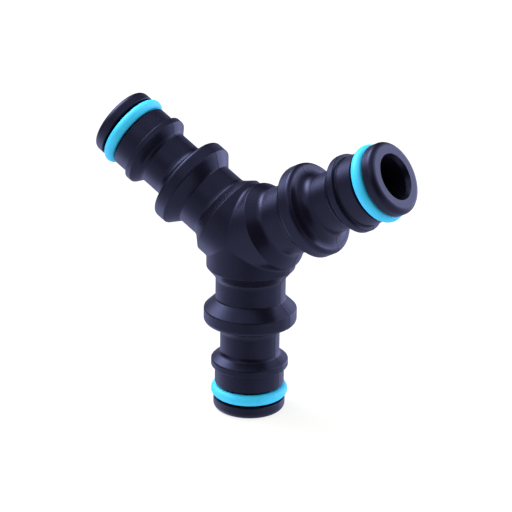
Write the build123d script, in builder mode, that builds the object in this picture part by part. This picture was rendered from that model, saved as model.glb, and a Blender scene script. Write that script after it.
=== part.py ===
from build123d import *
import os

# Three-way coupling for garden hose lines, in millimetres, +Z up.
#
# Three equal ring-lock spigots leave one hub at 120 degrees to each other, all
# with their axes in the XZ plane.  The origin is the point where the three
# axes meet.  One spigot points straight down and the object stands on its tip.
#
# The body is one moulding: the hub, the three spigots and the waterway that
# joins them.  Each spigot carries one loose rubber seal ring in a groove.
# Everything on a spigot is measured along its axis from the origin.

os.makedirs("parts", exist_ok=True)

# ---- directions of the spigots, degrees from +X towards +Z ----------------
SPIGOT_COUNT = 3
LOWER_ANGLE = -90
SPIGOT_ANGLES = {"lower": LOWER_ANGLE, "right": LOWER_ANGLE + 120, "left": LOWER_ANGLE + 240}

# ---- hub collar and root neck ----------------------------------------------
COLLAR_D = 19.9
COLLAR_END = 7.0
ROOT_D = 15.7
ROOT_START = 9.5

# ---- stop flange, where the sleeve of a mating connector comes to rest -----
FLANGE_D = 20.9
FLANGE_TAPER_START = 14.5
FLANGE_START = 17.0
FLANGE_FACE = 20.3

# ---- latch groove and latch ring, held by the claws of the connector -------
LATCH_GROOVE_D = 13.4
LATCH_TAPER_START = 27.6
LATCH_RING_D = 17.4
LATCH_RING_START = 29.25
LATCH_RING_END = 30.75

# ---- barrel, seal groove and nose ------------------------------------------
BARREL_D = 15.65
BARREL_START = 30.95
SEAL_GROOVE_D = 12.2
SEAL_GROOVE_START = 35.0
SEAL_GROOVE_WIDTH = 3.45
NOSE_D = 16.2
TIP = 41.25

# ---- waterway ----------------------------------------------------------------
WATERWAY_D = 9.4
MOUTH_D = 10.4
MOUTH_DEPTH = 1.1

# ---- rounded corners -----------------------------------------------------------
SOFT_EDGE = 0.2
SOFT_CORNER = 0.45
FLANGE_EDGE = 1.0
FLANGE_ROOT = 2.4
COLLAR_ROOT = 1.8
LATCH_ROOT = 1.3
NOSE_EDGE = 1.3
CREASE = 0.7

# ---- witness bead of the mould, in the plane of the three axes ------------------
BEAD_WIDTH = 0.24
BEAD_HEIGHT = 0.03

# ---- seal rings ------------------------------------------------------------------
SEAL_SECTION_D = 2.6
SEAL_SQUASH = 0.04

seal_groove_end = SEAL_GROOVE_START + SEAL_GROOVE_WIDTH
seal_middle = SEAL_GROOVE_START + SEAL_GROOVE_WIDTH / 2
seal_radius = SEAL_GROOVE_D / 2 + SEAL_SECTION_D / 2 - SEAL_SQUASH


def spigot_plane(angle):
    """Plane through a spigot: local X along its axis, local Y outwards from it."""
    along = Vector(1, 0, 0).rotate(Axis.Y, -angle)
    return Plane(origin=(0, 0, 0), x_dir=along, z_dir=Plane.XZ.z_dir)


# ---- one spigot with its third of the hub, solid, along +X ----------------------
# Each corner is (distance from the origin, diameter, rounding radius).
hub_to_barrel = [
    (0, 0, 0),
    (0, COLLAR_D, 0),
    (COLLAR_END, COLLAR_D, SOFT_EDGE),
    (ROOT_START, ROOT_D, COLLAR_ROOT),
    (FLANGE_TAPER_START, ROOT_D, SOFT_CORNER),
    (FLANGE_START, FLANGE_D, SOFT_CORNER),
    (FLANGE_FACE, FLANGE_D, FLANGE_EDGE),
    (FLANGE_FACE, LATCH_GROOVE_D, FLANGE_ROOT),
    (LATCH_TAPER_START, LATCH_GROOVE_D, LATCH_ROOT),
    (LATCH_RING_START, LATCH_RING_D, SOFT_CORNER),
    (LATCH_RING_END, LATCH_RING_D, SOFT_EDGE),
    (BARREL_START, BARREL_D, SOFT_EDGE),
    (SEAL_GROOVE_START, BARREL_D, SOFT_EDGE),
]
groove_to_tip = [
    (SEAL_GROOVE_START, SEAL_GROOVE_D, SOFT_EDGE),
    (seal_groove_end, SEAL_GROOVE_D, SOFT_EDGE),
    (seal_groove_end, NOSE_D, SOFT_EDGE),
    (TIP, NOSE_D, NOSE_EDGE),
    (TIP, 0, 0),
]
corners = hub_to_barrel + groove_to_tip

with BuildPart() as spigot:
    with BuildSketch():
        with BuildLine():
            outline = FilletPolyline(
                *[(along, across / 2) for along, across, rounding in corners],
                radius=[rounding for along, across, rounding in corners[1:-1]],
            )
            Line(outline @ 1, outline @ 0)
        make_face()
    revolve(axis=Axis.X)

# ---- witness bead of one spigot, as a thin plate along +X --------------------------
# It follows the spigot from the origin to the seal groove and stops short of it,
# so that nothing crosses the sealing surfaces.
bead_end = SEAL_GROOVE_START - SOFT_EDGE - BEAD_WIDTH

with BuildPart() as bead:
    with BuildSketch():
        with BuildLine():
            ridge = FilletPolyline(
                *[(along, across / 2) for along, across, rounding in hub_to_barrel[1:-1]],
                (bead_end, BARREL_D / 2),
                radius=[rounding for along, across, rounding in hub_to_barrel[2:-1]],
            )
            Line(ridge @ 1, (bead_end, 0))
            Line((bead_end, 0), (0, 0))
            Line((0, 0), ridge @ 0)
        make_face()
        offset(amount=BEAD_HEIGHT, kind=Kind.INTERSECTION)
    extrude(amount=BEAD_WIDTH / 2, both=True)
    mirror(about=Plane.XZ)

# ---- water space of one spigot, with the flared mouth, along +X -------------------
with BuildPart() as waterway:
    with BuildSketch():
        with BuildLine():
            Polyline(
                (0, 0),
                (0, WATERWAY_D / 2),
                (TIP - MOUTH_DEPTH, WATERWAY_D / 2),
                (TIP, MOUTH_D / 2),
                (TIP, 0),
                close=True,
            )
        make_face()
    revolve(axis=Axis.X)

# ---- body: three spigots joined at the hub, then bored through --------------------
with BuildPart(Plane.XZ) as body:
    with PolarLocations(0, SPIGOT_COUNT, start_angle=LOWER_ANGLE):
        add(spigot.part)
    fillet(body.edges().filter_by(GeomType.ELLIPSE), radius=CREASE)
    with PolarLocations(0, SPIGOT_COUNT, start_angle=LOWER_ANGLE):
        add(bead.part)
        add(waterway.part, mode=Mode.SUBTRACT)
body.part.label = "body"
export_step(body.part, "parts/body.step")


# ---- seal rings: round rubber section, seated flat on the floor of the groove -----
def make_seal_ring(side):
    plane = spigot_plane(SPIGOT_ANGLES[side])
    with BuildPart() as ring:
        with BuildSketch(plane):
            with Locations((seal_middle, seal_radius)):
                Circle(SEAL_SECTION_D / 2)
            with Locations((seal_middle, 0)):
                Rectangle(SEAL_GROOVE_WIDTH, SEAL_GROOVE_D, mode=Mode.SUBTRACT)
        revolve(axis=Axis(plane.origin, plane.x_dir))
    ring.part.label = "seal_ring_" + side
    export_step(ring.part, "parts/" + ring.part.label + ".step")


for side in SPIGOT_ANGLES:
    make_seal_ring(side)
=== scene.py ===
import math

import bpy
from mathutils import Matrix, Vector


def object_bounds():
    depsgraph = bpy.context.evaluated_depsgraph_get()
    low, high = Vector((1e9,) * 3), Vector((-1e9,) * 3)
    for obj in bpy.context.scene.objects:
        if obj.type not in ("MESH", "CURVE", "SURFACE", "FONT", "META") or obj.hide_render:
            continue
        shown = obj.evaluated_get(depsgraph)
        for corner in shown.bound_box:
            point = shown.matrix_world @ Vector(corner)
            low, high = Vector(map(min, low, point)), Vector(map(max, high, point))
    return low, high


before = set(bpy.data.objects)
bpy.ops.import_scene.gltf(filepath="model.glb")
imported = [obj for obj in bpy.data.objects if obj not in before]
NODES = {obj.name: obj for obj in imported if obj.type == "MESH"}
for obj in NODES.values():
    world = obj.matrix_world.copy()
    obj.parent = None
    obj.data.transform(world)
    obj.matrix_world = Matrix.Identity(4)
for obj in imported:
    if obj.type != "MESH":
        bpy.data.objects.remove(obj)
cad_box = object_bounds()

# A three-way hose coupling on a plain white floor.  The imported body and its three
# seal rings are shown as they are; this script adds their materials, the floor,
# the light and the camera.  Lengths are in metres, and angles in degrees.

MM = 0.001
HALF_TURN = 180
WHITE = (1.0, 1.0, 1.0)
FLOOR_Z = cad_box[0].z

# ---- camera: a long lens, from the right and a little above ----------------------
# Blender takes the lens and the sensor in millimetres.
CAM_AZIMUTH = 32.2
CAM_ELEVATION = 20.23
CAM_ROLL = 0.85
CAM_DISTANCE = 509.9 * MM
CAM_AIM_RIGHT = 1.03 * MM
CAM_AIM_UP = -4.59 * MM
CAM_LENS = 162.1
CAM_SENSOR = 36.0
CAM_NEAREST = 10 * MM
CAM_FARTHEST = 10000 * MM

# ---- studio dome -----------------------------------------------------------------
# It is dark round the lens, brightest 60 degrees from it, and dimmer at the back:
# (degrees from the camera's direction, radiance).
DOME = [
    (0, 0.2),
    (23, 0.0),
    (41, 1.6),
    (60, 2.2),
    (85, 2.05),
    (110, 1.65),
    (140, 0.9),
    (180, 0.6),
]
# All light turns bluer towards the back: (degrees, red, green), where blue is 1.
COOLING = [
    (0, 1.0, 1.0),
    (60, 0.92, 0.93),
    (80, 0.83, 0.86),
    (100, 0.68, 0.71),
    (130, 0.57, 0.6),
    (180, 0.53, 0.55),
]

# ---- soft panels, and the dark flags that take light away ---------------------------
# They are placed in the camera's own axes, and fade out from the middle as a bell
# curve: (angle to the right of the camera, angle up, spread, radiance added).
PANELS = {
    "key": (-97, 52, 12, 12.0),
    "key_spill": (-120, 56, 12, 6.0),
    "top": (-120, 66, 9, 6.5),
    "right_high": (81, 34, 11, 4.2),
    "right_back": (124, 15, 17, 4.2),
    "right_kicker": (107, 22, 10, 2.2),
    "left_low": (-117, -22, 20, 2.8),
    "front_fill": (-28, 30, 13, 1.8),
    "left_flag": (-106, 3, 17, -3.0),
    "right_flag": (47, 12, 20, -1.0),
    "back_flag": (145, 57, 27, -1.5),
    "front_flag": (-41, -13, 54, -0.7),
}

# ---- floor -------------------------------------------------------------------------
FLOOR_HALF_SIZE = 6.0
FLOOR_PAINT = (0.16, 0.15, 0.12)
FLOOR_GLOW = 0.82

# ---- noise textures ----------------------------------------------------------------
# Each is (cells to a metre, detail, roughness of the detail).
NAVY_DRIFT = (180, 3, 0.55)
NAVY_TEXTURE = (2600, 3, 0.6)
NAVY_SCUFFS = (1100, 4, 0.65)
NAVY_GRAIN = (9000, 2, 0.5)
CYAN_DRIFT = (300, 3, 0.55)
CYAN_GRAIN = (7000, 2, 0.5)
# A noise texture keeps mostly between these values.
NOISE_RANGE = (0.3, 0.7)

# ---- navy moulding ------------------------------------------------------------------
NAVY_DEEP = (0.0056, 0.0051, 0.0100)
NAVY_LIGHT = (0.0066, 0.0060, 0.0118)
NAVY_SCUFFED = (0.0100, 0.0095, 0.0160)
NAVY_SHEEN = (0.433, 0.481, 0.95)
NAVY_ROUGHNESS = (0.24, 0.29)
NAVY_WAVE_HEIGHT = 0.05 * MM
NAVY_GRAIN_HEIGHT = 0.004 * MM
# Scuffs begin at the first of these noise values and are full at the second.
SCUFF_RANGE = (0.60, 0.70)
SCUFF_COLOUR_SHARE = 0.4
SCUFF_ROUGHNESS = 0.09

# ---- cyan rubber ----------------------------------------------------------------------
CYAN_DEEP = (0.038, 0.485, 0.69)
CYAN_LIGHT = (0.044, 0.525, 0.745)
CYAN_ROUGHNESS = (0.38, 0.46)
CYAN_GRAIN_HEIGHT = 0.006 * MM

# Lower than a real polymer's, so that reflections seen head-on stay weak.
POLYMER_IOR = 1.28

# Numbers of the Mix node's sockets when it mixes colours.
MIX_FIRST = 6
MIX_SECOND = 7
MIX_RESULT = 2


def camera_axes():
    """Right, up and backward directions of the camera when it looks at the origin."""
    azimuth = math.radians(CAM_AZIMUTH)
    elevation = math.radians(CAM_ELEVATION)
    roll = math.radians(CAM_ROLL)
    outward = Vector((math.sin(azimuth), -math.cos(azimuth), 0))
    back = outward * math.cos(elevation) + Vector((0, 0, math.sin(elevation)))
    level = Vector((math.cos(azimuth), math.sin(azimuth), 0))
    right = level * math.cos(roll) + back.cross(level) * math.sin(roll)
    return right, back.cross(right), back


def make_camera():
    """Camera aimed slightly to the right of the origin and below it."""
    right, up, back = camera_axes()
    place = back * CAM_DISTANCE
    backward = (place - right * CAM_AIM_RIGHT - up * CAM_AIM_UP).normalized()
    sideways = (right - backward * right.dot(backward)).normalized()
    turn = Matrix((sideways, backward.cross(sideways), backward)).transposed()
    data = bpy.data.cameras.new("camera")
    data.lens = CAM_LENS
    data.sensor_width = CAM_SENSOR
    data.clip_start = CAM_NEAREST
    data.clip_end = CAM_FARTHEST
    camera = bpy.data.objects.new("camera", data)
    camera.matrix_world = Matrix.Translation(place) @ turn.to_4x4()
    bpy.context.scene.collection.objects.link(camera)
    bpy.context.scene.camera = camera


class Tree:
    """Short calls for building the node tree of a material or the world."""

    def __init__(self, owner):
        owner.use_nodes = True
        self.tree = owner.node_tree
        self.tree.nodes.clear()

    def add(self, kind, inputs=(), **settings):
        """New node.  The inputs map a socket's name or number to a value or a link."""
        node = self.tree.nodes.new(kind)
        for key, value in settings.items():
            setattr(node, key, value)
        for key, value in dict(inputs).items():
            self.put(node.inputs[key], value)
        return node

    def put(self, socket, value):
        if isinstance(value, bpy.types.NodeSocket):
            self.tree.links.new(value, socket)
        elif isinstance(value, tuple) and socket.type == "RGBA":
            socket.default_value = (*value, 1)
        else:
            socket.default_value = value

    def calculate(self, operation, *values):
        return self.add("ShaderNodeMath", enumerate(values), operation=operation).outputs[0]

    def dot(self, *vectors):
        node = self.add("ShaderNodeVectorMath", enumerate(vectors), operation="DOT_PRODUCT")
        return node.outputs["Value"]

    def ramp(self, value, low, high, to_low=0.0, to_high=1.0):
        """The value carried smoothly from the range low..high to to_low..to_high."""
        settings = (value, low, high, to_low, to_high)
        node = self.add("ShaderNodeMapRange", enumerate(settings), interpolation_type="SMOOTHSTEP")
        return node.outputs[0]

    def mix(self, factor, first, second):
        inputs = {"Factor": factor, MIX_FIRST: first, MIX_SECOND: second}
        return self.add("ShaderNodeMix", inputs, data_type="RGBA").outputs[MIX_RESULT]

    def noise(self, cells, detail, roughness):
        """Fractal noise fixed to the object."""
        inputs = {
            "Vector": self.add("ShaderNodeTexCoord").outputs["Object"],
            "Scale": cells,
            "Detail": detail,
            "Roughness": roughness,
        }
        return self.add("ShaderNodeTexNoise", inputs).outputs["Fac"]

    def bump(self, height, distance, **under):
        """Bumps of this height map, on top of the Normal given, if any."""
        inputs = {"Height": height, "Distance": distance, **under}
        return self.add("ShaderNodeBump", inputs).outputs["Normal"]

    def dome(self, turned, stops):
        """Colour by the angle from the camera's direction; turned is 1 at a half turn."""
        node = self.add("ShaderNodeValToRGB", {"Fac": turned})
        marks = node.color_ramp.elements
        while len(marks) < len(stops):
            marks.new(1.0)
        for mark, (degrees, *colour) in zip(marks, stops):
            mark.position = degrees / HALF_TURN
            mark.color = (*colour, 1)
        return node.outputs["Color"]

    def polymer(self, colour, roughness, sheen, normal):
        inputs = {
            "Base Color": colour,
            "Roughness": roughness,
            "IOR": POLYMER_IOR,
            "Specular Tint": sheen,
            "Normal": normal,
        }
        return self.add("ShaderNodeBsdfPrincipled", inputs).outputs[0]

    def choose(self, test, shader_at_0, shader_at_1):
        inputs = (test, shader_at_0, shader_at_1)
        return self.add("ShaderNodeMixShader", enumerate(inputs)).outputs[0]

    def finish(self, shader, kind="ShaderNodeOutputMaterial"):
        self.add(kind, {"Surface": shader})


def make_world():
    """Dome and panels light the object; the camera itself sees white paper."""
    right, up, back = camera_axes()
    world = bpy.data.worlds.new("studio")
    bpy.context.scene.world = world
    t = Tree(world)
    where = t.add("ShaderNodeTexCoord").outputs["Generated"]
    turned = t.calculate("DIVIDE", t.calculate("ARCCOSINE", t.dot(where, tuple(back))), math.pi)
    glow = t.dome(turned, [(degrees, level, level, level) for degrees, level in DOME])
    for sideways, upwards, spread, radiance in PANELS.values():
        azimuth = math.radians(sideways)
        height = math.radians(upwards)
        flat = right * math.sin(azimuth) + back * math.cos(azimuth)
        centre = flat * math.cos(height) + up * math.sin(height)
        off_centre = t.calculate("SUBTRACT", t.dot(where, tuple(centre)), 1.0)
        share = t.calculate("EXPONENT", t.calculate("DIVIDE", off_centre, math.radians(spread) ** 2))
        glow = t.calculate("MULTIPLY_ADD", share, radiance, glow)
    light = {
        "Color": t.dome(turned, [(degrees, red, green, 1.0) for degrees, red, green in COOLING]),
        "Strength": t.calculate("MAXIMUM", glow, 0.0),
    }
    studio = t.add("ShaderNodeBackground", light).outputs[0]
    paper = t.add("ShaderNodeBackground", {"Color": WHITE}).outputs[0]
    seen_by_camera = t.add("ShaderNodeLightPath").outputs["Is Camera Ray"]
    t.finish(t.choose(seen_by_camera, studio, paper), "ShaderNodeOutputWorld")


def white_paper():
    """Weakly lit paint with an even glow, so that shadows stay faint; clear from below."""
    material = bpy.data.materials.new("floor")
    t = Tree(material)
    paint = t.add("ShaderNodeBsdfDiffuse", {"Color": FLOOR_PAINT}).outputs[0]
    glow = t.add("ShaderNodeEmission", {"Strength": FLOOR_GLOW}).outputs[0]
    both = t.add("ShaderNodeAddShader", {0: paint, 1: glow}).outputs[0]
    clear = t.add("ShaderNodeBsdfTransparent").outputs[0]
    seen_from_below = t.add("ShaderNodeNewGeometry").outputs["Backfacing"]
    t.finish(t.choose(seen_from_below, both, clear))
    return material


def make_floor():
    """Square floor at the object's foot, for the camera's eyes only."""
    near, far = -FLOOR_HALF_SIZE, FLOOR_HALF_SIZE
    corners = [(near, near), (far, near), (far, far), (near, far)]
    mesh = bpy.data.meshes.new("floor")
    mesh.from_pydata([(x, y, FLOOR_Z) for x, y in corners], [], [(0, 1, 2, 3)])
    mesh.materials.append(white_paper())
    floor = bpy.data.objects.new("floor", mesh)
    bpy.context.scene.collection.objects.link(floor)
    floor.visible_glossy = False
    floor.visible_diffuse = False
    floor.visible_shadow = False


def navy_moulding():
    """Glossy dark plastic: slow colour drift, waviness, fine grain and faint scuffs."""
    material = bpy.data.materials.new("navy_moulding")
    t = Tree(material)
    drift = t.noise(*NAVY_DRIFT)
    scuffs = t.ramp(t.noise(*NAVY_SCUFFS), *SCUFF_RANGE)
    colour = t.mix(t.ramp(drift, *NOISE_RANGE), NAVY_DEEP, NAVY_LIGHT)
    colour = t.mix(t.calculate("MULTIPLY", scuffs, SCUFF_COLOUR_SHARE), colour, NAVY_SCUFFED)
    roughness = t.ramp(t.noise(*NAVY_TEXTURE), *NOISE_RANGE, *NAVY_ROUGHNESS)
    roughness = t.calculate("MULTIPLY_ADD", scuffs, SCUFF_ROUGHNESS, roughness)
    waves = t.bump(drift, NAVY_WAVE_HEIGHT)
    surface = t.bump(t.noise(*NAVY_GRAIN), NAVY_GRAIN_HEIGHT, Normal=waves)
    t.finish(t.polymer(colour, roughness, NAVY_SHEEN, surface))
    return material


def cyan_rubber():
    """Satin rubber: slight colour drift and a fine dusty grain."""
    material = bpy.data.materials.new("cyan_rubber")
    t = Tree(material)
    grain = t.noise(*CYAN_GRAIN)
    colour = t.mix(t.ramp(t.noise(*CYAN_DRIFT), *NOISE_RANGE), CYAN_DEEP, CYAN_LIGHT)
    roughness = t.ramp(grain, *NOISE_RANGE, *CYAN_ROUGHNESS)
    t.finish(t.polymer(colour, roughness, WHITE, t.bump(grain, CYAN_GRAIN_HEIGHT)))
    return material


navy = navy_moulding()
cyan = cyan_rubber()
for name, piece in NODES.items():
    piece.data.materials.clear()
    piece.data.materials.append(cyan if name.startswith("seal_ring") else navy)

make_camera()
make_world()
make_floor()
bpy.context.scene.view_settings.view_transform = "Standard"
